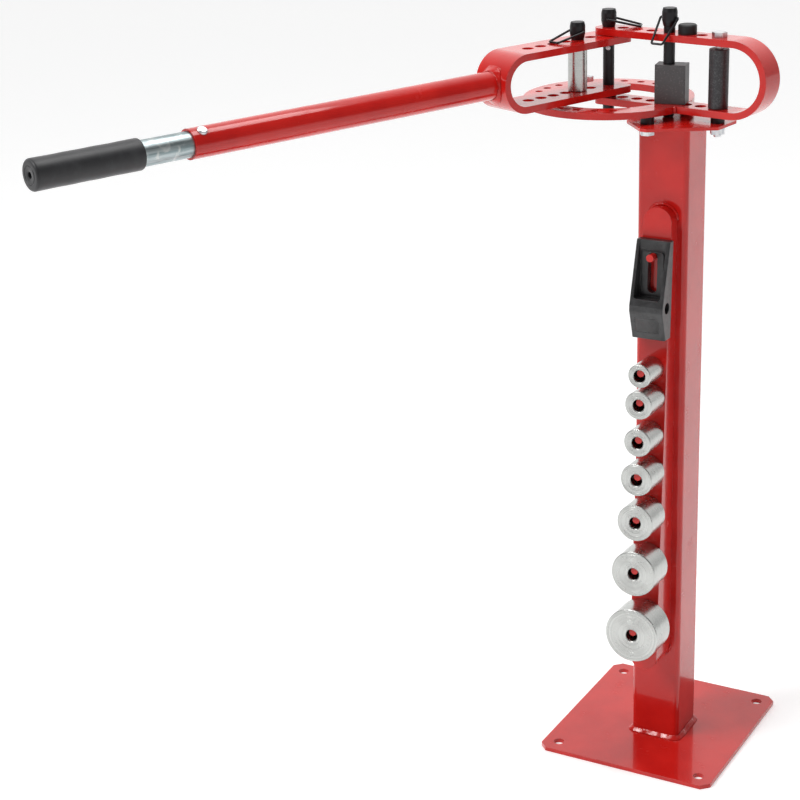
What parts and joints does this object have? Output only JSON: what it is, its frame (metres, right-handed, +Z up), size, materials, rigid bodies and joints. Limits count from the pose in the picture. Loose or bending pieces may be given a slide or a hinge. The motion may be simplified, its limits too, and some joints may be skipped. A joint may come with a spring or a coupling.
{
  "type": "manual tube bender",
  "caption": "Hand-operated tube and bar bender on a floor pedestal, with a swinging handle frame, angle ring, pinned tooling and a rack of forming dies.",
  "frame": {"origin": "on the post's axis at the underside of the base plate", "axes": "+Z up the post; -Y out of the front of the post, where the rack of dies is; +X to its right"},
  "size_m": [0.581, 0.9257, 1.0423],
  "materials": {
    "red_paint": "gloss red powder coat",
    "zinc_steel": "bright zinc plate",
    "black_steel": "black oxide",
    "spring_steel": "plain",
    "block_steel": "dark satin",
    "black_cast": "satin black paint",
    "grip_rubber": "matte",
    "cap_plastic": "satin",
    "bright_steel": "turned and polished",
    "die_metal": "turned, zinc bright"
  },
  "bodies": {
    "stand": {"base_plate": "red_paint", "base_weld": "red_paint", "post": "red_paint", "top_plate": "red_paint", "top_weld": "red_paint", "die_rack": "red_paint", "rack_weld": "red_paint", "rack_pegs": "red_paint", "fixed_frame": "red_paint", "angle_ring": "red_paint", "ring_welds": "red_paint", "mount_spacers": "black_steel", "column_bolt": "zinc_steel", "ring_bolts": "zinc_steel", "mount_nuts": "zinc_steel", "stop_bolt": "zinc_steel", "stop_nut": "zinc_steel", "arm_cap": "cap_plastic", "pivot_spacer": "black_steel"},
    "handle": {"swing_frame": "red_paint", "handle_tube": "red_paint", "handle_weld": "red_paint", "inner_tube": "zinc_steel", "grip": "grip_rubber", "snap_clip": "spring_steel"},
    "column_spacer": {"column_spacer": "black_steel"},
    "roller": {"roller": "bright_steel"},
    "follower_block": {"follower_block": "block_steel"},
    "pivot_pin": {"pivot_pin": "black_steel"},
    "pivot_bail": {"pivot_bail": "black_steel"},
    "roller_pin": {"roller_pin": "black_steel"},
    "roller_bail": {"roller_bail": "black_steel"},
    "follower_pin": {"follower_pin": "black_steel"},
    "follower_bail": {"follower_bail": "black_steel"},
    "snap_button_top": {"snap_button_top": "zinc_steel"},
    "snap_button_bottom": {"snap_button_bottom": "zinc_steel"},
    "shoe": {"shoe": "black_cast"},
    "die_1": {"die_1": "die_metal"},
    "die_2": {"die_2": "die_metal"},
    "die_3": {"die_3": "die_metal"},
    "die_4": {"die_4": "die_metal"},
    "die_5": {"die_5": "die_metal"},
    "die_6": {"die_6": "die_metal"},
    "die_7": {"die_7": "die_metal"}
  },
  "joints": [
    {"name": "handle_swing", "type": "hinge", "parent": "stand", "child": "handle", "pos_m": [-0.09828, 0.01557, 0.96375], "axis": [0, 0, 1], "range_deg": [-95, 55]},
    {"name": "pivot_pin_lift", "type": "slide", "parent": "stand", "child": "pivot_pin", "axis": [0, 0, 1], "range_m": [0, 0.13]},
    {"name": "pivot_bail_swing", "type": "hinge", "parent": "pivot_pin", "child": "pivot_bail", "pos_m": [-0.09828, 0.01557, 1.022], "axis": [0.2588, -0.9659, 0], "range_deg": [0, 150]},
    {"name": "roller_pin_lift", "type": "slide", "parent": "handle", "child": "roller_pin", "axis": [0, 0, 1], "range_m": [0, 0.09]},
    {"name": "roller_bail_swing", "type": "hinge", "parent": "roller_pin", "child": "roller_bail", "pos_m": [-0.11943, -0.03628, 1.0125], "axis": [-0.9259, 0.3778, 0], "range_deg": [0, 150]},
    {"name": "follower_pin_lift", "type": "slide", "parent": "stand", "child": "follower_pin", "axis": [0, 0, 1], "range_m": [0, 0.125]},
    {"name": "follower_bail_swing", "type": "hinge", "parent": "follower_pin", "child": "follower_bail", "pos_m": [-0.00741, 0.00117, 1.0303], "axis": [-0.9877, 0.1564, 0], "range_deg": [0, 150]},
    {"name": "roller_spin", "type": "hinge", "parent": "handle", "child": "roller", "pos_m": [-0.11943, -0.03628, 0.96375], "axis": [0, 0, 1], "continuous": true},
    {"name": "follower_block_turn", "type": "hinge", "parent": "stand", "child": "follower_block", "pos_m": [-0.00741, 0.00117, 0.945], "axis": [0, 0, 1], "continuous": true},
    {"name": "column_spacer_spin", "type": "hinge", "parent": "stand", "child": "column_spacer", "pos_m": [0.06469, -0.01025, 0.958], "axis": [0, 0, 1], "continuous": true},
    {"name": "die_1_slide", "type": "slide", "parent": "stand", "child": "die_1", "axis": [0, -0.9988, 0.0485], "range_m": [0, 0.06]},
    {"name": "die_2_slide", "type": "slide", "parent": "stand", "child": "die_2", "axis": [0, -0.9988, 0.0485], "range_m": [0, 0.06]},
    {"name": "die_3_slide", "type": "slide", "parent": "stand", "child": "die_3", "axis": [0, -0.9988, 0.0485], "range_m": [0, 0.06]},
    {"name": "die_4_slide", "type": "slide", "parent": "stand", "child": "die_4", "axis": [0, -0.9988, 0.0485], "range_m": [0, 0.06]},
    {"name": "die_5_slide", "type": "slide", "parent": "stand", "child": "die_5", "axis": [0, -0.9988, 0.0485], "range_m": [0, 0.06]},
    {"name": "die_6_slide", "type": "slide", "parent": "stand", "child": "die_6", "axis": [0, -0.9988, 0.0485], "range_m": [0, 0.06]},
    {"name": "die_7_slide", "type": "slide", "parent": "stand", "child": "die_7", "axis": [0, -0.9988, 0.0485], "range_m": [0, 0.06]},
    {"name": "shoe_slide", "type": "slide", "parent": "stand", "child": "shoe", "axis": [0, -0.9988, 0.0485], "range_m": [0, 0.045]},
    {"name": "snap_button_top_press", "type": "slide", "parent": "handle", "child": "snap_button_top", "axis": [-0.4906, 0.2002, -0.848], "range_m": [0, 0.0065], "stiffness_N_per_m": 900, "springref_m": -0.003},
    {"name": "snap_button_bottom_press", "type": "slide", "parent": "handle", "child": "snap_button_bottom", "axis": [0.4906, -0.2002, 0.848], "range_m": [0, 0.0065], "stiffness_N_per_m": 900, "springref_m": -0.003}
  ]
}
